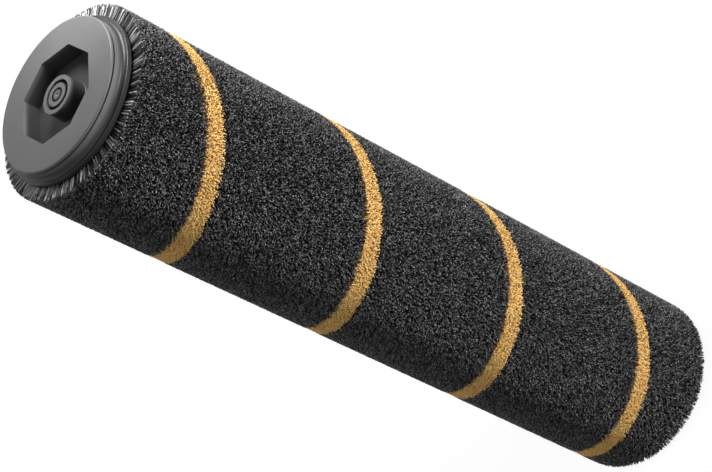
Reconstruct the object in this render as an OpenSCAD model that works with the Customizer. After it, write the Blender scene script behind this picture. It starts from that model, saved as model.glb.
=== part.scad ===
// Soft roller brush of a cordless vacuum cleaner's floor head, in millimetres.
// The roller stands on its drive end: +Z is its axis, and z = 0 is the drive plug's face.
// Its top is the idler end: a still end cap with an octagonal socket, on a ball bearing.

/* [Roller] */
// Diameter over the tips of the pile
roller_d = 50.3; // [46:0.1:61]
// Length of the pile along the roller
pile_length = 208.4; // [120:0.1:320]
// Outer diameter of the core tube
tube_d = 38; // [37.4:0.1:45.6]
// Wall of the core tube
tube_wall = 1.2; // [1:0.1:1.6]
// Thickness of the woven backing that carries the pile
backing_t = 1.2; // [0.6:0.1:1.6]

/* [Gold stripe] */
// Rise of the stripe in one turn
stripe_pitch = 52.67; // [30:0.01:80]
// Width of the stripe, measured along the roller
stripe_w = 5.6; // [3:0.1:10]
// Height of the stripe's middle above the drive face, on the +X side
stripe_z0 = 38.23; // [10:0.01:80]

/* [Idler plug] */
// Diameter of the collar under the end cap
collar_d = 40; // [39.5:0.1:48]
// Height of the collar above its flange
collar_h = 2.5; // [2.2:0.1:4]
// Wall of the collar round its pocket
collar_wall = 2.6; // [2.2:0.1:3]
// How far the flange stands out past the collar
flange_step = 1.55; // [1:0.05:2]
// How far both plugs' flanges reach out over the foot of the pile
flange_cover = 1.25; // [0.8:0.05:1.6]
// Thickness of the idler plug's flange
flange_t = 1.1; // [0.8:0.1:2]
// Radius of the hollow between the collar and the flange
root_r = 0.8; // [0.4:0.1:1]
// Length of each plug's spigot in the tube
spigot_l = 20; // [17:0.5:30]
// Wall of the spigots
spigot_wall = 2.3; // [2:0.1:2.6]
// Number of ribs that brace each plug's hub
rib_n = 8; // [4:1:10]
// Thickness of the ribs
rib_t = 1.2; // [0.8:0.1:2]

/* [Drive plug] */
// Thickness of the drive plug's flange
drive_flange_t = 1.8; // [1.2:0.1:3]
// Width across the flats of the hexagonal drive socket
drive_af = 12; // [10:0.1:13]
// Depth of the hexagonal drive socket
drive_depth = 12; // [8:0.5:14]
// Diameter of the pilot bore behind the hexagon
pilot_d = 8; // [6:0.1:9]
// Depth of the pilot bore
pilot_depth = 8; // [5:0.5:10]
// Outer diameter of the drive hub
drive_hub_d = 19.2; // [17:0.1:22]
// Depth of the shallow ring sunk in the drive face
dish_depth = 0.8; // [0.4:0.1:1.2]

/* [End cap] */
// Thickness of the cap's rim, in front of the seam
rim_t = 0.6; // [0.5:0.1:1]
// Rounding of the cap's front edge
rim_edge_r = 0.4; // [0.1:0.05:0.45]
// Width of the seam between the cap and the collar
seam_gap = 0.4; // [0.3:0.05:0.6]
// Thickness of the cap's plate inside the rim
plate_t = 1.6; // [1.2:0.1:1.8]
// Height of the skirt that runs in the collar's pocket
skirt_h = 1.4; // [0.8:0.1:1.4]
// Width across the flats of the octagonal socket
socket_af = 23.7; // [20:0.1:24.5]
// Depth of the octagonal socket
socket_depth = 4.9; // [4:0.1:5.2]
// Wall round the octagon's corners
cup_wall = 1.4; // [1.2:0.1:1.6]
// Diameter of the boss in the middle of the socket
boss_d = 10; // [9.4:0.1:11]
// Inner diameter of the boss
boss_bore_d = 7.84; // [7.2:0.01:8]
// Distance of the boss's end from the cap's face
boss_drop = 0.4; // [0:0.1:1]

/* [Axle and bearing] */
// Diameter of the axle and bore of the bearing
axle_d = 6; // [5:0.1:7.2]
// How far the axle's head, which shows in the boss, stands out past the axle
head_step = 0.1; // [0.05:0.01:0.2]
// Outer diameter of the bearing
bearing_d = 15; // [14.6:0.1:16]
// Width of the bearing
bearing_w = 5; // [4.8:0.1:5.6]
// Diameter of a ball
ball_d = 2.38; // [2.2:0.01:2.4]
// Number of balls
ball_n = 7; // [5:1:8]

/* [Clearances] */
// Radial gap of a seated or moulded-in fit
seat_gap = 0.02; // [0.01:0.01:0.05]
// Gap between glued or stacked pieces
stack_gap = 0.05; // [0.02:0.01:0.1]
// Gap between pieces that turn past each other
running_gap = 0.4; // [0.3:0.05:0.5]
// Gap between the flanges and the ends of the pile
flange_gap = 0.2; // [0.1:0.05:0.4]

/* [Hidden] */
$fn = 96;
eps = 0.01;

// Heights along the roller, from the drive face up
pile_z0 = drive_flange_t + flange_gap;
pile_z1 = pile_z0 + pile_length;
idler_flange_z0 = pile_z1 + flange_gap;
idler_flange_z1 = idler_flange_z0 + flange_t;
collar_z1 = idler_flange_z1 + collar_h;
rim_z0 = collar_z1 + seam_gap;
face_z = rim_z0 + rim_t;

// The cap, from its face down
plate_z0 = face_z - plate_t;
skirt_z0 = plate_z0 - skirt_h;
floor_z = face_z - socket_depth;
cup_floor_t = 1.6;
cup_z0 = floor_z - cup_floor_t;
boss_z1 = face_z - boss_drop;
boss_floor_t = 1.2;
boss_floor_z = floor_z + boss_floor_t;
boss_root_r = 0.4;
cap_hub_l = 1.9;
cap_hub_z0 = cup_z0 - cap_hub_l;
cap_hub_d = 11;
socket_r = socket_af / 2 / cos(22.5);
cup_r = socket_r + cup_wall;
pocket_r = collar_d / 2 - collar_wall;
skirt_r = pocket_r - running_gap;
axle_head_r = axle_d / 2 + head_step;
skirt_wall = 1.1;
gusset_n = 8;
gusset_t = 1;
weld = 0.3;

// The idler plug's inside
ledge_z = skirt_z0 - running_gap;
seal_t = 0.6;
seal_gap = 0.3;
seal_inset = 1;
web_z1 = cup_z0 - seal_gap - seal_t;
web_t = 1.8;
spigot_r = tube_d / 2 - tube_wall - stack_gap;
spigot_ri = spigot_r - spigot_wall;
ledge_w = 1.2;
ledge_ri = min(spigot_ri, pocket_r - ledge_w);
pile_foot_r = tube_d / 2 + 2 * stack_gap + backing_t;
flange_r = max(pile_foot_r + flange_cover, collar_d / 2 + flange_step);
flange_edge_r = 0.2;

// The drive plug's inside
drive_web_t = 1.4;
drive_web_z1 = drive_flange_t + drive_web_t;
hub_end_t = 2;
lead_in = 0.6;
dish_edge = 1;

// The stack on the axle, from the cap's hub down
spacer_z1 = cap_hub_z0 - stack_gap;
spacer_t = 1;
bearing_z1 = spacer_z1 - spacer_t - stack_gap;
bearing_z0 = bearing_z1 - bearing_w;
bearing_z = (bearing_z0 + bearing_z1) / 2;
wave_t = 0.25;
wave_amp = 0.15;
wave_n = 3;
wave_z1 = bearing_z0 - stack_gap;
washer_z1 = wave_z1 - wave_t - 2 * wave_amp - stack_gap;
washer_t = 0.5;
washer_r = 4.75;
clip_z1 = washer_z1 - washer_t - stack_gap;
clip_t = 0.6;
clip_groove_r = axle_d / 2 - 0.6;
clip_r = 5;
clip_bow = 0.5;
clip_tooth_w = 1.8;
clip_mouth = 3.6;
clip_inset = 0.3;
axle_tail = 1.6;
axle_z0 = clip_z1 - clip_t - axle_tail;
journal_in_hub = 1;
journal_z1 = cap_hub_z0 + journal_in_hub;
mark_depth = 0.5;
mark_ri = 1.38;
mark_ro = 1.76;
dimple_r = 0.5;

// The bearing's section
pitch_r = (axle_d + bearing_d) / 4;
ball_r = ball_d / 2;
race_gap = 0.04;
race_r = ball_r + race_gap;
land = 0.9;
inner_land_r = pitch_r - land;
outer_land_r = pitch_r + land;
shield_t = 0.25;
shield_inset = 0.15;
shield_seat = 0.4;
shield_r = outer_land_r + shield_seat;
shield_gap = 0.1;
cage_wall = 0.25;
cage_half_w = 0.5;
cage_ri = pitch_r - cage_half_w;
cage_ro = pitch_r + cage_half_w;
cage_split = 0.01;
cage_gap = 0.05;
ball_pocket_r = ball_r + cage_gap;

// The bearing's seat in the idler plug
seat_r = bearing_d / 2 + seat_gap;
hub_wall = 2.1;
hub_r = seat_r + hub_wall;
shoulder_w = 0.9;
shoulder_r = bearing_d / 2 - shoulder_w;
shoulder_l = 3;
hub_z0 = bearing_z0 - shoulder_l;

// The pile, in steps of a whole number to the quarter turn. Its inner faces are chords, whose
// middles clear the backing
pile_step = 7.5;
pile_ri = pile_foot_r / cos(pile_step / 2);
pile_side_gap = 0.1;
pile_tail = 0.8;

// A plain ring between two heights
module ring(ri, ro, z0, z1) {
    translate([0, 0, z0])
        difference() {
            cylinder(r = ro, h = z1 - z0);
            translate([0, 0, -eps])
                cylinder(r = ri, h = z1 - z0 + 2 * eps);
        }
}

// Rectangle of a section, from one corner to the other
module box2d(r0, z0, r1, z1) {
    translate([r0, z0])
        square([r1 - r0, z1 - z0]);
}

// Rectangle whose outer upper corner is rounded
module round_top2d(r0, z0, r1, z1, er) {
    box2d(r0, z0, r1 - er, z1);
    box2d(r0, z0, r1, z1 - er);
    translate([r1 - er, z1 - er])
        circle(r = er);
}

// Hollow fillet in the corner above a flange, at the foot of a wall of radius r
module root2d(r, z, fr) {
    difference() {
        box2d(r - eps, z - eps, r + fr, z + fr);
        translate([r + fr, z + fr])
            circle(r = fr);
    }
}

module core_tube() {
    color("silver")
        ring(tube_d / 2 - tube_wall, tube_d / 2,
            pile_z0 - flange_gap + stack_gap, idler_flange_z0 - stack_gap);
}

module pile_backing() {
    color("dimgray")
        ring(tube_d / 2 + stack_gap, tube_d / 2 + stack_gap + backing_t, pile_z0, pile_z1);
}

// Height of the stripe's middle at an angle round the roller
function stripe_z(a) = stripe_z0 + stripe_pitch * a / 360;
// Angle at which the stripe's middle reaches a height
function stripe_a(z) = (z - stripe_z0) / stripe_pitch * 360;
function to_pile(z) = max(pile_z0, min(pile_z1, z));
function at(r, a, z) = [r * cos(a), r * sin(a), z];

// Strip of pile wound round the roller. It reaches from lo to hi, counted from the stripe's
// middle, and is cut off level with both ends of the pile.
module wound_strip(lo, hi) {
    a0 = ceil(stripe_a(pile_z0 - hi + pile_tail) / pile_step) * pile_step;
    a1 = floor(stripe_a(pile_z1 - lo - pile_tail) / pile_step) * pile_step;
    n = round((a1 - a0) / pile_step);
    points = [
        for (i = [0:n])
            let (
                a = a0 + i * pile_step,
                z0 = to_pile(stripe_z(a) + lo),
                z1 = to_pile(stripe_z(a) + hi)
            )
            each [
                at(pile_ri, a, z0), at(roller_d / 2, a, z0),
                at(roller_d / 2, a, z1), at(pile_ri, a, z1)
            ]
    ];
    // The flanks twist, so each is split along a diagonal, which runs from the inner edge out
    // on both, and keeps two neighbouring strips parallel
    sides = [
        for (i = [0:n - 1])
            let (p = 4 * i, q = p + 4)
            each [
                [p, p + 1, q + 1], [p, q + 1, q],
                [p + 1, p + 2, q + 2, q + 1],
                [p + 2, p + 3, q + 2], [p + 3, q + 3, q + 2],
                [p + 3, p, q, q + 3]
            ]
    ];
    polyhedron(points, concat([[3, 2, 1, 0]], sides, [[4 * n, 4 * n + 1, 4 * n + 2, 4 * n + 3]]));
}

module black_pile() {
    color("#333333")
        wound_strip(stripe_w / 2 + pile_side_gap, stripe_pitch - stripe_w / 2 - pile_side_gap);
}

module gold_pile() {
    color("goldenrod")
        wound_strip(-stripe_w / 2, stripe_w / 2);
}

// Ribs from a hub to a spigot's wall
module ribs(r0, r1, z0, z1) {
    for (i = [0:rib_n - 1])
        rotate([0, 0, 360 / rib_n * (i + 0.5)])
            translate([r0, -rib_t / 2, z0])
                cube([r1 - r0, rib_t, z1 - z0]);
}

module idler_plug() {
    spigot_z0 = idler_flange_z0 - spigot_l;
    color("#6a6a6a") {
        rotate_extrude() {
            box2d(pocket_r, idler_flange_z0, collar_d / 2, collar_z1);
            round_top2d(ledge_ri, idler_flange_z0, flange_r, idler_flange_z1, flange_edge_r);
            root2d(collar_d / 2, idler_flange_z1, root_r);
            box2d(ledge_ri, idler_flange_z0, pocket_r + eps, ledge_z);
            box2d(spigot_ri, spigot_z0, spigot_r, idler_flange_z0 + eps);
            box2d(seat_r, web_z1 - web_t, spigot_ri + eps, web_z1);
            box2d(seat_r, hub_z0, hub_r, web_z1);
            box2d(shoulder_r, hub_z0, seat_r + eps, bearing_z0);
        }
        ribs(hub_r - weld, spigot_ri + weld, hub_z0, web_z1 - web_t + eps);
    }
}

module drive_plug() {
    socket_end = drive_depth + pilot_depth;
    hex_r = drive_af / 2 / cos(30);
    color("#5e5e5e")
        difference() {
            union() {
                rotate_extrude() {
                    mirror([0, 1])
                        round_top2d(0, -drive_flange_t, flange_r, 0, 2 * flange_edge_r);
                    box2d(0, 0, drive_hub_d / 2, socket_end + hub_end_t);
                    box2d(spigot_ri, 0, spigot_r, drive_flange_t + spigot_l);
                    box2d(0, 0, spigot_r, drive_web_z1);
                }
                ribs(drive_hub_d / 2 - weld, spigot_ri + weld, drive_web_z1 - eps, socket_end);
            }
            translate([0, 0, -eps])
                cylinder(r = hex_r, h = drive_depth + eps, $fn = 6);
            translate([0, 0, -eps])
                cylinder(r = pilot_d / 2, h = socket_end + eps);
            translate([0, 0, -eps])
                cylinder(r1 = hex_r + lead_in, r2 = hex_r - lead_in, h = 2 * lead_in);
            ring(drive_hub_d / 2 + dish_edge, spigot_r - dish_edge, -eps, dish_depth);
        }
}

module dust_seal() {
    color("#4a4a48")
        ring(seat_r + seal_inset, spigot_ri - seal_inset, web_z1 + seat_gap, web_z1 + seal_t);
}

// Section of the ball groove that both rings share
module race2d() {
    translate([pitch_r, bearing_z])
        circle(r = race_r);
}

module bearing_outer_ring() {
    recess = shield_inset + shield_t + eps;
    color("lightsteelblue")
        rotate_extrude()
            difference() {
                box2d(outer_land_r, bearing_z0, bearing_d / 2, bearing_z1);
                race2d();
                box2d(outer_land_r - eps, bearing_z0 - eps, shield_r, bearing_z0 + recess);
                box2d(outer_land_r - eps, bearing_z1 - recess, shield_r, bearing_z1 + eps);
            }
}

module bearing_inner_ring() {
    color("lightsteelblue")
        rotate_extrude()
            difference() {
                box2d(axle_d / 2 + seat_gap, bearing_z0, inner_land_r, bearing_z1);
                race2d();
            }
}

// Places its child at each ball
module at_balls() {
    for (i = [0:ball_n - 1])
        rotate([0, 0, 360 / ball_n * i])
            translate([pitch_r, 0, bearing_z])
                children();
}

module bearing_balls() {
    color("gainsboro")
        at_balls()
            sphere(r = ball_r);
}

// One pressed half of the cage: a ribbon that is flat between the balls and bends over each one
module cage_half(side) {
    flat_z = side > 0 ? bearing_z + cage_split : bearing_z - cage_split - cage_wall;
    bend_r = ball_pocket_r + cage_wall;
    bend_z = side > 0 ? bearing_z + cage_split : bearing_z - cage_split - bend_r;
    color("#b9a36a")
        difference() {
            union() {
                ring(cage_ri, cage_ro, flat_z, flat_z + cage_wall);
                intersection() {
                    ring(cage_ri, cage_ro, bend_z, bend_z + bend_r);
                    at_balls()
                        rotate([0, 90, 0])
                            cylinder(r = bend_r, h = ball_d, center = true);
                }
            }
            at_balls()
                rotate([0, 90, 0])
                    cylinder(r = ball_pocket_r, h = ball_d + 2 * eps, center = true);
        }
}

module cage_front_half() {
    cage_half(1);
}

module cage_rear_half() {
    cage_half(-1);
}

module shield(z0) {
    color("silver")
        ring(inner_land_r + shield_gap, shield_r - seat_gap, z0, z0 + shield_t);
}

module front_shield() {
    shield(bearing_z1 - shield_inset - shield_t);
}

module rear_shield() {
    shield(bearing_z0 + shield_inset);
}

module end_cap() {
    color("#7c7c7c")
        difference() {
            union() {
                rotate_extrude() {
                    round_top2d(0, rim_z0, collar_d / 2, face_z, rim_edge_r);
                    box2d(0, plate_z0, skirt_r, face_z - rim_edge_r);
                    box2d(skirt_r - skirt_wall, skirt_z0, skirt_r, plate_z0 + eps);
                    box2d(0, cup_z0, cup_r, plate_z0 + eps);
                    box2d(0, cap_hub_z0, cap_hub_d / 2, cup_z0 + eps);
                }
                for (i = [0:gusset_n - 1])
                    rotate([0, 0, 360 / gusset_n * i])
                        translate([cup_r - weld, -gusset_t / 2, skirt_z0])
                            cube([skirt_r - skirt_wall - cup_r + 2 * weld, gusset_t, skirt_h + eps]);
            }
            difference() {
                translate([0, 0, floor_z])
                    rotate([0, 0, 22.5])
                        cylinder(r = socket_r, h = socket_depth + eps, $fn = 8);
                rotate_extrude() {
                    box2d(0, floor_z - eps, boss_d / 2, boss_z1);
                    root2d(boss_d / 2, floor_z, boss_root_r);
                }
            }
            translate([0, 0, boss_floor_z])
                cylinder(r = boss_bore_d / 2, h = socket_depth);
            translate([0, 0, cap_hub_z0 - eps])
                cylinder(r = axle_head_r + seat_gap, h = boss_floor_z - cap_hub_z0 + 2 * eps);
        }
}

// Turned axle: its head stands in the boss, its journal carries the bearing
module stub_axle() {
    color("darkgray")
        rotate_extrude()
            difference() {
                union() {
                    box2d(0, journal_z1, axle_head_r, boss_z1);
                    box2d(0, axle_z0, axle_d / 2, journal_z1 + eps);
                }
                box2d(mark_ri, boss_z1 - mark_depth, mark_ro, boss_z1 + eps);
                translate([0, boss_z1])
                    polygon([[0, -dimple_r], [dimple_r, 0], [dimple_r, eps], [0, eps]]);
                box2d(clip_groove_r, clip_z1 - clip_t - seat_gap, axle_d / 2 + eps, clip_z1 + seat_gap);
            }
}

module spacer_sleeve() {
    color("silver")
        ring(axle_d / 2 + seat_gap, inner_land_r - stack_gap, spacer_z1 - spacer_t, spacer_z1);
}

// Sprung washer whose ring rises and falls in waves
module wave_washer() {
    n = 16 * wave_n;
    ri = axle_d / 2 + 2 * stack_gap;
    ro = inner_land_r - stack_gap;
    middle = wave_z1 - wave_t / 2 - wave_amp;
    points = [
        for (i = [0:n - 1])
            let (a = 360 / n * i, z = middle + wave_amp * cos(wave_n * a))
            each [
                at(ri, a, z - wave_t / 2), at(ro, a, z - wave_t / 2),
                at(ro, a, z + wave_t / 2), at(ri, a, z + wave_t / 2)
            ]
    ];
    sides = [
        for (i = [0:n - 1])
            for (k = [0:3])
                let (j = (i + 1) % n)
                [4 * i + k, 4 * i + (k + 1) % 4, 4 * j + (k + 1) % 4, 4 * j + k]
    ];
    color("slategray")
        polyhedron(points, sides);
}

module thrust_washer() {
    color("silver")
        ring(axle_d / 2 + seat_gap, washer_r, washer_z1 - washer_t, washer_z1);
}

// E-clip, pushed into the axle's groove from the side. Three teeth reach into the groove.
module retaining_clip() {
    color("#555555")
        translate([0, 0, clip_z1 - clip_t])
            difference() {
                union() {
                    ring(axle_d / 2 + clip_bow, clip_r, 0, clip_t);
                    for (a = [90, 210, 330])
                        rotate([0, 0, a])
                            translate([0, -clip_tooth_w / 2, 0])
                                cube([clip_r - clip_inset, clip_tooth_w, clip_t]);
                }
                translate([0, 0, -eps])
                    cylinder(r = clip_groove_r + seat_gap, h = clip_t + 2 * eps);
                translate([-clip_mouth / 2, -clip_r - eps, -eps])
                    cube([clip_mouth, clip_r, clip_t + 2 * eps]);
            }
}

core_tube();
pile_backing();
black_pile();
gold_pile();
idler_plug();
drive_plug();
dust_seal();
bearing_outer_ring();
bearing_inner_ring();
bearing_balls();
cage_front_half();
cage_rear_half();
front_shield();
rear_shield();
end_cap();
stub_axle();
spacer_sleeve();
wave_washer();
thrust_washer();
retaining_clip();
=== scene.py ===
# Soft roller brush: black and gold plush pile, end plugs, still cap on a ball bearing.
# Metres throughout. The roller's axis is Z and its drive end stands on z = 0.
import math

import bpy
import numpy as np
from mathutils import Matrix, Vector


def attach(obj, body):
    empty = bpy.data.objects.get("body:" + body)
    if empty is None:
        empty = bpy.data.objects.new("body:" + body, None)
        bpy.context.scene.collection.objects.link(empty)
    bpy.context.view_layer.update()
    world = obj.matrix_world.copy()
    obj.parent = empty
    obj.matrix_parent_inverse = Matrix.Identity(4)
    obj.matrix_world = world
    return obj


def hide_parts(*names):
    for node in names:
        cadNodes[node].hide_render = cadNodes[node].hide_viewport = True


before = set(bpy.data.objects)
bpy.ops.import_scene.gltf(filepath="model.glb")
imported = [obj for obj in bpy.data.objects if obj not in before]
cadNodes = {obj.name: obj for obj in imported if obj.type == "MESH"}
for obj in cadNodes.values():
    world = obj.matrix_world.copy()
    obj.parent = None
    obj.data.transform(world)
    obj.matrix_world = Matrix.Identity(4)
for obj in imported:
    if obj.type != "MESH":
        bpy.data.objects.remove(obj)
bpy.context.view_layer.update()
print("frame loaded,", len(cadNodes), "CAD nodes")

mm = 0.001
turn = 2 * math.pi


def makePiece(name, points, corners, sizes, values=None, uv=None, smooth=False):
    # one mesh from flat arrays: each face takes the next "size" corners of the list
    mesh = bpy.data.meshes.new(name)
    mesh.vertices.add(len(points))
    mesh.vertices.foreach_set("co", points.astype(np.float32).ravel())
    mesh.loops.add(len(corners))
    mesh.loops.foreach_set("vertex_index", corners.astype(np.int32))
    mesh.polygons.add(len(sizes))
    starts = np.concatenate([[0], np.cumsum(sizes)[:-1]])
    mesh.polygons.foreach_set("loop_start", starts.astype(np.int32))
    mesh.update(calc_edges=True)
    for label, data in (values or {}).items():
        store = mesh.attributes.new(label, "FLOAT", "POINT")
        store.data.foreach_set("value", data.astype(np.float32))
    if uv is not None:
        layer = mesh.uv_layers.new(name="OFBake")
        layer.data.foreach_set("uv", uv.astype(np.float32).ravel())
    mesh.polygons.foreach_set("use_smooth", np.full(len(sizes), smooth))
    piece = bpy.data.objects.new(name, mesh)
    bpy.context.scene.collection.objects.link(piece)
    return piece


def cylinderPoint(azimuth, radius, height):
    return np.stack([radius * np.cos(azimuth), radius * np.sin(azimuth), height + 0 * azimuth], axis=-1)


pile = dict(
    tipRadius=25.15 * mm,
    groundRadius=23.3 * mm,      # bed under the tufts, painted dark as shade in the gaps between them
    rootSink=0.35 * mm,
    footRadius=20.45 * mm,       # on the woven backing
    bottom=2.0 * mm,
    top=210.4 * mm,
    pitch=52.667 * mm,
    stripeHeight=38.03 * mm,     # centre of the stripe at azimuth 0
    stripeWidth=5.35 * mm,
    partingWidth=0.15 * mm,      # bare line along both sides of the stripe
    ragged=0.20 * mm,            # how far the tufts stray over that line
    seed=71,
)


def stripeOffset(azimuth, height):
    # signed distance along the axis from the nearest turn of the stripe's centre line
    turns = (height - pile["stripeHeight"]) / pile["pitch"] - azimuth / turn
    return (turns - np.round(turns)) * pile["pitch"]


ground = dict(
    stepsPerTurn=90,
    across=6,
    lump=0.12 * mm,
    endStep=1.1 * mm,            # how far the ground stops short of the pile's ends
    tipHeight=0.05 * mm,         # height of the strip's two pointed ends
)


def woundGround(name, lowEdge, highEdge):
    # A ring profile carried along the helix. At angle a the strip runs from z = line(a) + lowEdge
    # to line(a) + highEdge, line(a) = stripeHeight + pitch * a / turn, both kept between the ends.
    # Its outside is groundRadius plus two crossed sine ripples, its inside footRadius.
    bottom, top = pile["bottom"] + ground["endStep"], pile["top"] - ground["endStep"]
    shift = ground["tipHeight"] - pile["stripeHeight"]
    start = (bottom + shift - highEdge) / pile["pitch"] * turn
    shift = ground["tipHeight"] + pile["stripeHeight"]
    end = (top - shift - lowEdge) / pile["pitch"] * turn
    steps = int((end - start) / turn * ground["stepsPerTurn"]) + 2
    angle = np.linspace(start, end, steps)[:, None]
    line = pile["stripeHeight"] + pile["pitch"] * angle / turn
    low = np.clip(line + lowEdge, bottom, top)
    high = np.clip(line + highEdge, bottom, top)
    share = np.linspace(0, 1, ground["across"] + 1)[None, :]
    outerZ = low + (high - low) * share
    ripple = np.sin(outerZ / mm * 2.1 + angle * 31) * np.sin(angle * 47 - outerZ / mm * 1.3)
    outer = cylinderPoint(angle + 0 * outerZ, pile["groundRadius"] + ground["lump"] * ripple, outerZ)
    innerZ = outerZ[:, ::-1]
    inner = cylinderPoint(angle + 0 * innerZ, pile["footRadius"] + 0 * innerZ, innerZ)
    loop = np.concatenate([outer, inner], axis=1)
    count = loop.shape[1]
    here = np.arange(steps - 1)[:, None] * count + np.arange(count)[None, :]
    along = np.arange(steps - 1)[:, None] * count + (np.arange(count)[None, :] + 1) % count
    faces = np.stack([here, here + count, along + count, along], axis=-1).reshape(-1, 4)
    firstTip, lastTip = np.arange(count), (steps - 1) * count + np.arange(count)[::-1]
    corners = np.concatenate([faces.ravel(), firstTip, lastTip])
    sizes = np.concatenate([np.full(len(faces), 4), [count, count]])
    return makePiece(name, loop.reshape(-1, 3), corners, sizes, smooth=True)


hairKinds = dict(
    black=dict(perSquareMm=7.0, width=(0.29, 0.40), lean=0.34, sweep=0.05, short=0.35, proud=0.10,
               shape=[(0.90, 1.0)]),
    gold=dict(perSquareMm=10.5, width=(0.33, 0.45), lean=0.20, sweep=0.03, short=0.22, proud=-0.04,
              shape=[(0.94, 1.0)]),
)


def slowField(azimuth, height, seed):
    # sum of nine sine waves over the unrolled cylinder, wavelengths 3 to 18 mm, between about -1 and 1
    dice = np.random.default_rng(seed)
    total = 0 * azimuth
    for wave in range(9):
        around = dice.integers(-40, 40)
        up = dice.uniform(-1.8, 1.8)
        total = total + np.sin(around * azimuth + up * height / mm + dice.uniform(0, turn))
    return total / 3


def scatterRoots(perSquareMm, dice):
    # a staggered grid over the unrolled cylinder, each point shaken by most of a cell
    cell = 1 / math.sqrt(perSquareMm)
    around = int(round(turn * pile["groundRadius"] / mm / cell))
    rows = int(round((pile["top"] - pile["bottom"]) / mm / cell))
    column, row = np.meshgrid(np.arange(around), np.arange(rows))
    shake = dice.uniform(-0.48, 0.48, (2, rows, around))
    azimuth = (column + 0.5 * (row % 2) + shake[0]) / around * turn
    height = pile["bottom"] + (row + 0.5 + shake[1]) / rows * (pile["top"] - pile["bottom"])
    return azimuth.ravel(), height.ravel()


def hairPoints(root, path, bend, width, spin, shape):
    # A triangle carried along each hair. At share t its centre is root + path * t + bend * t^2 and its
    # corners stand width / 2 * size off that centre, for each (t, size) of shape. The root is a point,
    # and the last triangle is the cut end: its first corner goes on to the full length, so it slants.
    count = len(root)
    axis = path / np.linalg.norm(path, axis=1, keepdims=True)
    side = np.cross(axis, [0.0, 0.0, 1.0])
    side /= np.linalg.norm(side, axis=1, keepdims=True)
    other = np.cross(axis, side)
    share, size = np.repeat(np.array(shape), 3, axis=0).T
    share[-3] = 1.0
    corner = spin[:, None] + np.tile(np.arange(3) * turn / 3, len(shape))[None, :]
    reach = (width[:, None] / 2 * size)[:, :, None]
    ring = root[:, None, :] + path[:, None, :] * share[None, :, None] + bend[:, None, :] * share[None, :, None] ** 2
    ring = ring + reach * (np.cos(corner)[:, :, None] * side[:, None, :] + np.sin(corner)[:, :, None] * other[:, None, :])
    return np.concatenate([root[:, None, :], ring.reshape(count, -1, 3)], axis=1)


def hairPiece(name, root, path, bend, width, spin, shade, shape, fade=1.0):
    # faces of one hair, repeated with a step for all: root fan, quads between rings, slanted end
    count, rings = len(root), len(shape)
    points = hairPoints(root, path, bend, width, spin, shape)
    perHair = rings * 3 + 1
    nextCorner = [1, 2, 0]
    own, sizes = [], []
    for corner in range(3):
        own += [0, 1 + nextCorner[corner], 1 + corner]
        sizes.append(3)
    for ring in range(rings - 1):
        for corner in range(3):
            a, b = 1 + ring * 3 + corner, 1 + ring * 3 + nextCorner[corner]
            own += [a, b, b + 3, a + 3]
            sizes.append(4)
    own += [perHair - 3, perHair - 2, perHair - 1]
    sizes.append(3)
    corners = (np.arange(count)[:, None] * perHair + np.array(own)[None, :]).ravel()
    heights = np.concatenate([[0.0], np.repeat([t for t, size in shape], 3)])
    heights[-3] = 1.0
    heights = np.tile(1 - (1 - heights) * fade, count)
    shades = np.repeat(shade, perHair)
    # the bake's map: shade across and height up, so all hairs of one shade share one narrow column
    offCentre = np.tile([0.0] + [-0.002, 0.0, 0.002] * rings, count)
    uv = np.stack([0.02 + 0.96 * shades + offCentre, 0.02 + 0.96 * heights], axis=-1)[corners]
    values = dict(tuftShade=shades, tuftHeight=heights)
    return makePiece(name, points.reshape(-1, 3), corners, np.tile(sizes, count), values, uv)


def growTufts(kind, azimuth, height, dice):
    # root below the ground, tip near tipRadius; a tuft leans by the slow field and by chance
    look = hairKinds[kind]
    count = len(azimuth)
    out = cylinderPoint(azimuth, 1.0, 0.0)
    around = np.stack([-np.sin(azimuth), np.cos(azimuth), 0 * azimuth], axis=-1)
    up = np.array([[0.0, 0.0, 1.0]])
    tall = (pile["tipRadius"] - pile["groundRadius"] + pile["rootSink"]) / mm + look["proud"]
    tall = tall - look["short"] * dice.random(count) ** 2
    sideways = look["sweep"] * slowField(azimuth, height, 5) * tall
    sideways += look["lean"] * tall * dice.normal(0, 0.6, count)
    upward = look["sweep"] * slowField(azimuth, height, 9) * tall
    upward += look["lean"] * tall * dice.normal(0, 0.6, count)
    low, high = pile["bottom"] / mm + 0.1, pile["top"] / mm - 0.1
    z = height / mm
    upward = np.clip(z + upward, low, high) - z
    root = cylinderPoint(azimuth, pile["groundRadius"] - pile["rootSink"], height)
    path = (out * tall[:, None] + around * sideways[:, None] + up * upward[:, None]) * mm
    width = dice.uniform(*look["width"], count) * mm
    spin = dice.uniform(0, turn, count)
    shade = np.clip(0.50 + 0.28 * dice.normal(size=count) + 0.05 * slowField(azimuth, height, 13), 0, 1)
    return root, path, 0.0 * path, width, spin, shade


fringe = dict(
    layers=6,
    perLayer=440,
    bundles=186,                 # fibres of the outer layers cling together in this many bundles
    cling=0.85,
    rootRadius=21.0 * mm,
    depth=1.2 * mm,              # how far in from the end the layers reach
    flareNear=0.42 * mm,         # how far a tip leans out past its root
    flareFar=1.00 * mm,
    width=(0.20, 0.31),
    shapeNear=[(0.25, 0.8), (0.84, 1.0)],
    shapeFar=[(0.25, 0.9), (0.60, 0.9)],
    fade=0.35,                   # how much of the painted root shade these keep
)


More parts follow.
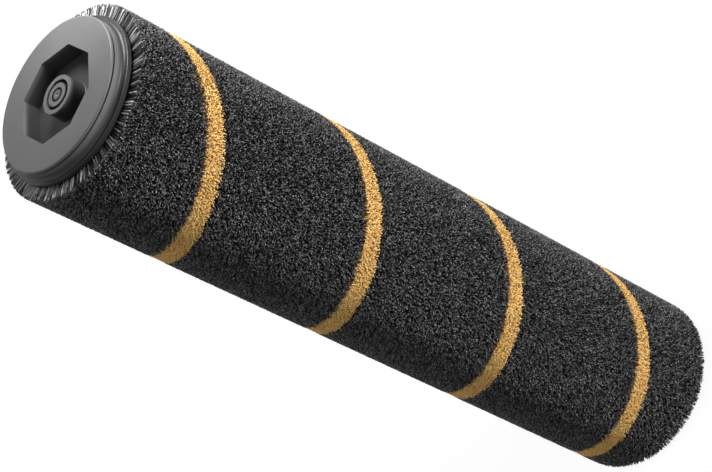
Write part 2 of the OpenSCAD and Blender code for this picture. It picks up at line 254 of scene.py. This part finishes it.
def growFringe(atTop, dice):
    # long side-on fibres round an end, in layers from the end face inwards; their tips flare outwards
    # and, in the outer layers, are drawn towards the middle of their bundle
    count = fringe["layers"] * fringe["perLayer"]
    layer = np.repeat(np.arange(fringe["layers"]), fringe["perLayer"])
    spot = np.tile(np.arange(fringe["perLayer"]), fringe["layers"])
    azimuth = (spot + layer * 0.37 + dice.uniform(-0.45, 0.45, count)) / fringe["perLayer"] * turn
    inward = (layer + dice.uniform(0, 1, count)) / fringe["layers"]
    shaken = dice.uniform(-0.3, 0.3, fringe["bundles"])
    nearest = np.round(azimuth / turn * fringe["bundles"]).astype(int) % fringe["bundles"]
    middle = (nearest + shaken[nearest]) / fringe["bundles"] * turn
    toMiddle = (middle - azimuth + turn / 2) % turn - turn / 2
    pull = fringe["cling"] * np.clip(1.4 - 1.6 * inward, 0, 1) * toMiddle
    sign = 1.0 if atTop else -1.0
    end = pile["top"] if atTop else pile["bottom"]
    rootZ = end - sign * (0.25 * mm + fringe["depth"] * inward)
    azimuth = azimuth + 0.6 * pull
    out = cylinderPoint(azimuth, 1.0, 0.0)
    around = np.stack([-np.sin(azimuth), np.cos(azimuth), 0 * azimuth], axis=-1)
    up = np.array([[0.0, 0.0, sign]])
    tall = (pile["tipRadius"] - fringe["rootRadius"]) / mm - 0.35 * dice.random(count) ** 2
    sway = 0.10 * dice.normal(size=count) + 0.20 * slowField(azimuth, rootZ, 21)
    sway += 0.4 * pull * pile["tipRadius"] / mm
    stray = dice.uniform(0.2, 1.6, fringe["bundles"])[nearest] if not atTop else 1.0
    flare = fringe["flareNear" if atTop else "flareFar"] / mm
    flare = flare * (1 - inward) * dice.uniform(0.3, 1.0, count) * stray
    root = cylinderPoint(azimuth, fringe["rootRadius"], rootZ)
    path = (out * tall[:, None] + around * (0.5 * sway)[:, None]) * mm
    bend = (around * (0.5 * sway)[:, None] + up * flare[:, None]) * mm
    width = dice.uniform(*fringe["width"], count) * mm
    spin = dice.uniform(0, turn, count)
    tone = dice.uniform(0, 1, fringe["bundles"])[nearest]
    # painted shade: a fibre is darker the further its layer lies in from the end face, by up to 0.7 of tone; the
    # bundles' own tones are random
    tone = 0.05 + 0.95 * np.clip((tone - 0.30) / 0.2, 0, 1) - 0.7 * inward
    shade = np.clip(tone + 0.12 * dice.normal(size=count), 0, 1)
    return azimuth, rootZ, (root, path, bend, width, spin, shade)


def chosen(hairs, keep):
    return tuple(part[keep] for part in hairs)


half = pile["stripeWidth"] / 2
edge = pile["partingWidth"] / 2
blackGround = woundGround("blackPileGround", half + edge, pile["pitch"] - half - edge)
goldGround = woundGround("goldPileGround", -half + edge, half - edge)

blackPieces, goldPieces = [blackGround], [goldGround]
for kind, pieces in (("black", blackPieces), ("gold", goldPieces)):
    dice = np.random.default_rng(pile["seed"] + len(kind))
    azimuth, height = scatterRoots(hairKinds[kind]["perSquareMm"], dice)
    away = np.abs(stripeOffset(azimuth, height)) + pile["ragged"] * dice.normal(size=len(azimuth))
    keep = away > half + edge if kind == "black" else away < half - edge
    azimuth, height = azimuth[keep], height[keep]
    hairs = growTufts(kind, azimuth, height, dice)
    order = np.argsort(height, kind="stable")
    parts = 4 if kind == "black" else 1
    for number, share in enumerate(np.array_split(order, parts)):
        label = f"{kind}PileTufts" + (f"{number + 1}" if parts > 1 else "")
        pieces.append(hairPiece(label, *chosen(hairs, share), hairKinds[kind]["shape"]))
    print(kind, "tufts:", len(azimuth))

fringeDice = np.random.default_rng(pile["seed"] + 99)
for atTop, place in ((True, "Near"), (False, "Far")):
    azimuth, height, hairs = growFringe(atTop, fringeDice)
    inStripe = np.abs(stripeOffset(azimuth, height)) < half
    style = (fringe[f"shape{place}"], fringe["fade"])
    blackPieces.append(hairPiece(f"blackPileFringe{place}", *chosen(hairs, ~inStripe), *style))
    goldPieces.append(hairPiece(f"goldPileFringe{place}", *chosen(hairs, inStripe), *style))
print("fringes grown")


def newMaterial(name, settings):
    material = bpy.data.materials.new(name)
    material.use_nodes = True
    shader = material.node_tree.nodes["Principled BSDF"]
    for socket, value in settings.items():
        shader.inputs[socket].default_value = value
    return material, material.node_tree, shader


def addNode(tree, kind, settings=None, inputs=None):
    node = tree.nodes.new(kind)
    for name, value in (settings or {}).items():
        setattr(node, name, value)
    for name, value in (inputs or {}).items():
        node.inputs[name].default_value = value
    return node


def addRamp(tree, factor, stops):
    ramp = addNode(tree, "ShaderNodeValToRGB")
    elements = ramp.color_ramp.elements
    while len(elements) < len(stops):
        elements.new(0.5)
    for element, (place, colour) in zip(elements, stops):
        element.position = place
        element.color = (*colour, 1)
    tree.links.new(factor, ramp.inputs["Fac"])
    return ramp.outputs["Color"]


def addBump(tree, shader, height, strength, distance):
    bump = addNode(tree, "ShaderNodeBump", inputs={"Strength": strength, "Distance": distance})
    tree.links.new(height, bump.inputs["Height"])
    tree.links.new(bump.outputs["Normal"], shader.inputs["Normal"])


def pileMaterial(name, dark, middle, light, rootShadeShare, rootUpTo, roughness, shine, sheen=0.0, sheenTint=(1, 1, 1)):
    # tuftShade picks the fibre's colour; painted shade takes it down to rootShadeShare of that up to tuftHeight
    # rootUpTo, full at the tip, darkening the fibre low down where its neighbours shade it
    material, tree, shader = newMaterial(name, {
        "Roughness": roughness, "Specular IOR Level": shine,
        "Sheen Weight": sheen, "Sheen Roughness": 0.5, "Sheen Tint": (*sheenTint, 1)})
    shade = addNode(tree, "ShaderNodeAttribute", {"attribute_name": "tuftShade"})
    height = addNode(tree, "ShaderNodeAttribute", {"attribute_name": "tuftHeight"})
    colour = addRamp(tree, shade.outputs["Fac"], [(0.0, dark), (0.5, middle), (1.0, light)])
    paintedRootShade = addRamp(tree, height.outputs["Fac"], [(rootUpTo, (rootShadeShare,) * 3), (1.0, (1, 1, 1))])
    mix = addNode(tree, "ShaderNodeMix", {"data_type": "RGBA", "blend_type": "MULTIPLY"}, {"Factor": 1.0})
    tree.links.new(colour, mix.inputs[6])
    tree.links.new(paintedRootShade, mix.inputs[7])
    tree.links.new(mix.outputs[2], shader.inputs["Base Color"])
    return material


def groundMaterial(name, dark, light):
    material, tree, shader = newMaterial(name, {"Roughness": 0.9, "Specular IOR Level": 0.1})
    place = addNode(tree, "ShaderNodeTexCoord")
    weave = addNode(tree, "ShaderNodeTexNoise", inputs={"Scale": 2200.0, "Detail": 3.0})
    tree.links.new(place.outputs["Object"], weave.inputs["Vector"])
    colour = addRamp(tree, weave.outputs["Fac"], [(0.3, dark), (0.7, light)])
    tree.links.new(colour, shader.inputs["Base Color"])
    addBump(tree, shader, weave.outputs["Fac"], 0.8, 0.2 * mm)
    return material


def plasticMaterial(name, dark, light, roughness, grainStrength, deepZ, shallowZ, deepShare):
    # moulded ABS: slow tone drift, fine spark grain in the bump, a little gloss variation. Painted shade
    # takes the tone down to deepShare of itself from height shallowZ down to deepZ, darkening the hollows where
    # shade falls
    material, tree, shader = newMaterial(name, {"Specular IOR Level": 0.2})
    place = addNode(tree, "ShaderNodeTexCoord")
    drift = addNode(tree, "ShaderNodeTexNoise", inputs={"Scale": 90.0, "Detail": 2.0})
    grain = addNode(tree, "ShaderNodeTexNoise", inputs={"Scale": 5200.0, "Detail": 2.0})
    tree.links.new(place.outputs["Object"], drift.inputs["Vector"])
    tree.links.new(place.outputs["Object"], grain.inputs["Vector"])
    colour = addRamp(tree, drift.outputs["Fac"], [(0.35, dark), (0.65, light)])
    split = addNode(tree, "ShaderNodeSeparateXYZ")
    tree.links.new(place.outputs["Object"], split.inputs["Vector"])
    paintedShade = addNode(tree, "ShaderNodeMapRange", inputs={
        "From Min": deepZ, "From Max": shallowZ, "To Min": deepShare, "To Max": 1.0})
    tree.links.new(split.outputs["Z"], paintedShade.inputs["Value"])
    mix = addNode(tree, "ShaderNodeMix", {"data_type": "RGBA", "blend_type": "MULTIPLY"}, {"Factor": 1.0})
    tree.links.new(colour, mix.inputs[6])
    tree.links.new(paintedShade.outputs["Result"], mix.inputs[7])
    tree.links.new(mix.outputs[2], shader.inputs["Base Color"])
    gloss = addNode(tree, "ShaderNodeMapRange", inputs={
        "From Min": 0.3, "From Max": 0.7, "To Min": roughness - 0.04, "To Max": roughness + 0.04})
    tree.links.new(drift.outputs["Fac"], gloss.inputs["Value"])
    tree.links.new(gloss.outputs["Result"], shader.inputs["Roughness"])
    addBump(tree, shader, grain.outputs["Fac"], grainStrength, 0.02 * mm)
    return material


def metalMaterial(name, dark, light, roughness, scratchScale):
    material, tree, shader = newMaterial(name, {"Metallic": 1.0})
    place = addNode(tree, "ShaderNodeTexCoord")
    stretch = addNode(tree, "ShaderNodeMapping", inputs={"Scale": scratchScale})
    scratch = addNode(tree, "ShaderNodeTexNoise", inputs={"Scale": 1.0, "Detail": 4.0})
    tree.links.new(place.outputs["Object"], stretch.inputs["Vector"])
    tree.links.new(stretch.outputs["Vector"], scratch.inputs["Vector"])
    colour = addRamp(tree, scratch.outputs["Fac"], [(0.3, dark), (0.7, light)])
    tree.links.new(colour, shader.inputs["Base Color"])
    gloss = addNode(tree, "ShaderNodeMapRange", inputs={
        "From Min": 0.3, "From Max": 0.7, "To Min": roughness - 0.07, "To Max": roughness + 0.07})
    tree.links.new(scratch.outputs["Fac"], gloss.inputs["Value"])
    tree.links.new(gloss.outputs["Result"], shader.inputs["Roughness"])
    addBump(tree, shader, scratch.outputs["Fac"], 0.1, 0.02 * mm)
    return material


def turnedMaterial(name, rings, roughness):
    # blackened turned steel: grey by the distance from the axis, for each (radius, grey) of rings. The dark rings
    # from 1.3 to 1.75 mm and from 3.05 mm out are painted shade, standing for the gap round the shaft and the
    # groove round the head
    material, tree, shader = newMaterial(name, {"Metallic": 1.0, "Roughness": roughness})
    place = addNode(tree, "ShaderNodeTexCoord")
    across = addNode(tree, "ShaderNodeVectorMath", {"operation": "MULTIPLY"}, {1: (1, 1, 0)})
    radius = addNode(tree, "ShaderNodeVectorMath", {"operation": "LENGTH"})
    tree.links.new(place.outputs["Object"], across.inputs[0])
    tree.links.new(across.outputs["Vector"], radius.inputs[0])
    widest = rings[-1][0]
    share = addNode(tree, "ShaderNodeMapRange", inputs={"From Max": widest})
    tree.links.new(radius.outputs["Value"], share.inputs["Value"])
    colour = addRamp(tree, share.outputs["Result"], [(at / widest, grey(tone)) for at, tone in rings])
    tree.links.new(colour, shader.inputs["Base Color"])
    fine = addNode(tree, "ShaderNodeTexNoise", inputs={"Scale": 6000.0, "Detail": 2.0})
    tree.links.new(place.outputs["Object"], fine.inputs["Vector"])
    addBump(tree, shader, fine.outputs["Fac"], 0.15, 0.02 * mm)
    return material


def weaveMaterial(name, dark, light):
    # plain weave round the tube: two crossed wave patterns on the Object coordinates
    material, tree, shader = newMaterial(name, {"Roughness": 0.85, "Specular IOR Level": 0.2})
    place = addNode(tree, "ShaderNodeTexCoord")
    warp = addNode(tree, "ShaderNodeTexWave", {"bands_direction": "Z"}, {"Scale": 260.0, "Distortion": 0.4})
    weft = addNode(tree, "ShaderNodeTexWave", {"bands_direction": "X"}, {"Scale": 260.0, "Distortion": 0.4})
    cross = addNode(tree, "ShaderNodeMath", {"operation": "MULTIPLY"})
    for wave, slot in ((warp, 0), (weft, 1)):
        tree.links.new(place.outputs["Object"], wave.inputs["Vector"])
        tree.links.new(wave.outputs["Fac"], cross.inputs[slot])
    colour = addRamp(tree, cross.outputs["Value"], [(0.1, dark), (0.8, light)])
    tree.links.new(colour, shader.inputs["Base Color"])
    addBump(tree, shader, cross.outputs["Value"], 0.6, 0.15 * mm)
    return material


def feltMaterial(name, dark, light):
    material, tree, shader = newMaterial(name, {"Roughness": 0.95, "Specular IOR Level": 0.1, "Sheen Weight": 0.3})
    place = addNode(tree, "ShaderNodeTexCoord")
    fuzz = addNode(tree, "ShaderNodeTexNoise", inputs={"Scale": 1600.0, "Detail": 6.0, "Distortion": 1.2})
    tree.links.new(place.outputs["Object"], fuzz.inputs["Vector"])
    colour = addRamp(tree, fuzz.outputs["Fac"], [(0.3, dark), (0.7, light)])
    tree.links.new(colour, shader.inputs["Base Color"])
    addBump(tree, shader, fuzz.outputs["Fac"], 0.7, 0.15 * mm)
    return material


def grey(value):
    return (value, value, value)


pileColours = dict(
    black=dict(dark=(0.030, 0.030, 0.030), middle=(0.165, 0.165, 0.166), light=(0.50, 0.50, 0.504)),
    gold=dict(dark=(0.72, 0.36, 0.080), middle=(0.95, 0.55, 0.130), light=(1.00, 0.76, 0.30)),
    # painted sheen: the end fibres, though the same black fibre as the tufts, take lighter colours
    fringe=dict(dark=(0.010, 0.010, 0.010), middle=(0.19, 0.19, 0.191), light=(0.60, 0.60, 0.604)),
)
blackFibre = pileMaterial("blackFibre", **pileColours["black"], rootShadeShare=0.20, rootUpTo=0.86,
                          roughness=0.50, shine=0.10)
goldFibre = pileMaterial("goldFibre", **pileColours["gold"], rootShadeShare=0.6, rootUpTo=0.7, roughness=0.50, shine=0.4,
                         sheen=0.8, sheenTint=(1.0, 0.95, 0.65))
# the end fibres are the black tufts' fibre painted lighter, a painted sheen of fibres seen side-on
fringeFibrePaintedSheen = pileMaterial("fringeFibrePaintedSheen", **pileColours["fringe"], rootShadeShare=0.2, rootUpTo=0.5,
                           roughness=0.35, shine=1.0)
# the beds are painted darker than their fibres: painted shade in the gaps between the tufts
blackBedPaintedShade = groundMaterial("blackBedPaintedShade", grey(0.010), grey(0.022))
goldBedPaintedShade = groundMaterial("goldBedPaintedShade", (0.45, 0.23, 0.06), (0.60, 0.34, 0.10))
# painted shade: the plug darker below its collar, down to 0.18 of its tone under 212.1 mm, which takes in the whole
# drive plug; the cap darker down its octagonal socket
plugPlastic = plasticMaterial("plugPlastic", grey(0.100), grey(0.112), 0.40, 0.25,
                              212.1 * mm, 213.4 * mm, 0.18)
capPlastic = plasticMaterial("capPlastic", grey(0.082), grey(0.092), 0.40, 0.25,
                             213.7 * mm, 214.75 * mm, 0.47)
tubeMetal = metalMaterial("tubeMetal", grey(0.62), grey(0.74), 0.32, (900.0, 900.0, 90.0))
bearingSteel = metalMaterial("bearingSteel", grey(0.50), grey(0.62), 0.22, (300.0, 300.0, 2400.0))
# the dark rings, 1.3 to 1.75 mm and from 3.05 mm out, are painted shade
axleSteel = turnedMaterial("axleSteel", [
    (0.0, 0.095), (1.05 * mm, 0.10), (1.3 * mm, 0.02), (1.75 * mm, 0.02), (2.0 * mm, 0.115),
    (2.85 * mm, 0.125), (3.05 * mm, 0.05), (4.0 * mm, 0.05)], 0.6)
backingWeave = weaveMaterial("backingWeave", grey(0.02), grey(0.07))
sealFelt = feltMaterial("sealFelt", grey(0.025), grey(0.07))

nodeFinish = dict(
    core_tube=tubeMetal, pile_backing=backingWeave, idler_plug=plugPlastic, drive_plug=plugPlastic,
    dust_seal=sealFelt, bearing_outer_ring=bearingSteel, bearing_inner_ring=bearingSteel,
    bearing_balls=bearingSteel, cage_front_half=bearingSteel, cage_rear_half=bearingSteel,
    front_shield=bearingSteel, rear_shield=bearingSteel, end_cap=capPlastic, stub_axle=axleSteel,
    spacer_sleeve=bearingSteel, wave_washer=bearingSteel, thrust_washer=bearingSteel,
    retaining_clip=axleSteel, black_pile=blackBedPaintedShade, gold_pile=goldBedPaintedShade,
)


def finishWith(thing, material):
    thing.data.materials.clear()
    thing.data.materials.append(material)
    thing.data.polygons.foreach_set("material_index", np.zeros(len(thing.data.polygons), np.int32))


for name, material in nodeFinish.items():
    finishWith(cadNodes[name], material)
for pieces, fibre, bed, node in ((blackPieces, blackFibre, blackBedPaintedShade, "black_pile"),
                                 (goldPieces, goldFibre, goldBedPaintedShade, "gold_pile")):
    for piece in pieces:
        own = bed if piece.name.endswith("Ground") else fibre
        finishWith(piece, fringeFibrePaintedSheen if piece.name.startswith("blackPileFringe") else own)
        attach(piece, "roller")
        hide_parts(node)
print("materials set")


cameraView = dict(
    location=(-3.52 * mm, -489.11 * mm, 501.02 * mm),
    direction=(0.00865, 0.78645, -0.6176),
    roll=-63.28,
    lens=122.03,
)
backward = -Vector(cameraView["direction"])
cameraData = bpy.data.cameras.new("photoCamera")
cameraData.lens = cameraView["lens"]
cameraData.sensor_width = 36.0
cameraData.clip_start = 0.05
photoCamera = bpy.data.objects.new("photoCamera", cameraData)
bpy.context.scene.collection.objects.link(photoCamera)
turned = backward.to_track_quat("Z", "Y").to_matrix().to_4x4() @ Matrix.Rotation(
    math.radians(cameraView["roll"]), 4, "Z")
photoCamera.matrix_world = Matrix.Translation(Vector(cameraView["location"])) @ turned
bpy.context.scene.camera = photoCamera

studio = dict(
    ambient=0.06,
    floorColour=(0.25, 0.25, 0.25),
    floorLift=0.900,             # seen by the camera and by reflections only
    floorSize=6.0,
    key=dict(direction=(0.790, -0.609, 0.070), level=1.80, softness=20),
    fill=dict(direction=(-0.05, -0.990, 0.139), level=0.24, softness=38),
    overhead=dict(direction=(-0.15, 0.0, 0.989), level=0.20, softness=30),
    back=dict(direction=(0.0, 1.0, 0.01), level=0.32, softness=20),
    capLamp=dict(place=(36 * mm, 11 * mm, 241 * mm), target=(10 * mm, 3 * mm, 215.2 * mm),
                 size=24 * mm, power=0.047),
)


def addSun(name, spec):
    # a far softbox: level 1 shows a white sheet that faces it as white, softness is its width in degrees
    data = bpy.data.lights.new(name, "SUN")
    data.energy = spec["level"] * math.pi
    data.angle = math.radians(spec["softness"])
    lamp = bpy.data.objects.new(name, data)
    bpy.context.scene.collection.objects.link(lamp)
    lamp.rotation_euler = Vector(spec["direction"]).to_track_quat("Z", "Y").to_euler()
    return lamp


def backgroundRays(tree):
    # 1 for camera, mirror and glass rays, 0 for the rays that carry soft light
    path = addNode(tree, "ShaderNodeLightPath")
    first = addNode(tree, "ShaderNodeMath", {"operation": "MAXIMUM"})
    second = addNode(tree, "ShaderNodeMath", {"operation": "MAXIMUM"})
    tree.links.new(path.outputs["Is Camera Ray"], first.inputs[0])
    tree.links.new(path.outputs["Is Glossy Ray"], first.inputs[1])
    tree.links.new(first.outputs["Value"], second.inputs[0])
    tree.links.new(path.outputs["Is Transmission Ray"], second.inputs[1])
    return second.outputs["Value"]


def addCapLamp(name, spec):
    # small softbox close above the upper edge of the cap
    data = bpy.data.lights.new(name, "AREA")
    data.shape = "DISK"
    data.size = spec["size"]
    data.energy = spec["power"]
    lamp = bpy.data.objects.new(name, data)
    bpy.context.scene.collection.objects.link(lamp)
    lamp.location = Vector(spec["place"])
    away = Vector(spec["place"]) - Vector(spec["target"])
    lamp.rotation_euler = away.to_track_quat("Z", "Y").to_euler()
    lamp.visible_camera = False
    return lamp


addCapLamp("capLamp", studio["capLamp"])
addSun("keyLight", studio["key"])
addSun("fillLight", studio["fill"])
addSun("overheadLight", studio["overhead"])
addSun("backLight", studio["back"])

world = bpy.data.worlds.new("studioWorld")
bpy.context.scene.world = world
world.use_nodes = True
sky = world.node_tree
skyLevel = addNode(sky, "ShaderNodeMapRange", inputs={"To Min": studio["ambient"], "To Max": 1.0})
sky.links.new(backgroundRays(sky), skyLevel.inputs["Value"])
sky.nodes["Background"].inputs["Color"].default_value = (1, 1, 1, 1)
sky.links.new(skyLevel.outputs["Result"], sky.nodes["Background"].inputs["Strength"])

floorEdge = studio["floorSize"] / 2
floorPoints = np.array([[-1, -1, 0], [1, -1, 0], [1, 1, 0], [-1, 1, 0]], float) * floorEdge
studioFloor = makePiece("studioFloor", floorPoints, np.arange(4), np.array([4]))
floorMaterial, floorTree, floorShader = newMaterial("floorPaint", {
    "Base Color": (*studio["floorColour"], 1), "Roughness": 0.9, "Specular IOR Level": 0.0,
    "Emission Color": (1, 1, 1, 1)})
lift = addNode(floorTree, "ShaderNodeMath", {"operation": "MULTIPLY"}, {1: studio["floorLift"]})
floorTree.links.new(backgroundRays(floorTree), lift.inputs[0])
floorTree.links.new(lift.outputs["Value"], floorShader.inputs["Emission Strength"])
finishWith(studioFloor, floorMaterial)
bpy.context.scene.view_settings.view_transform = "Standard"
print("stage set")
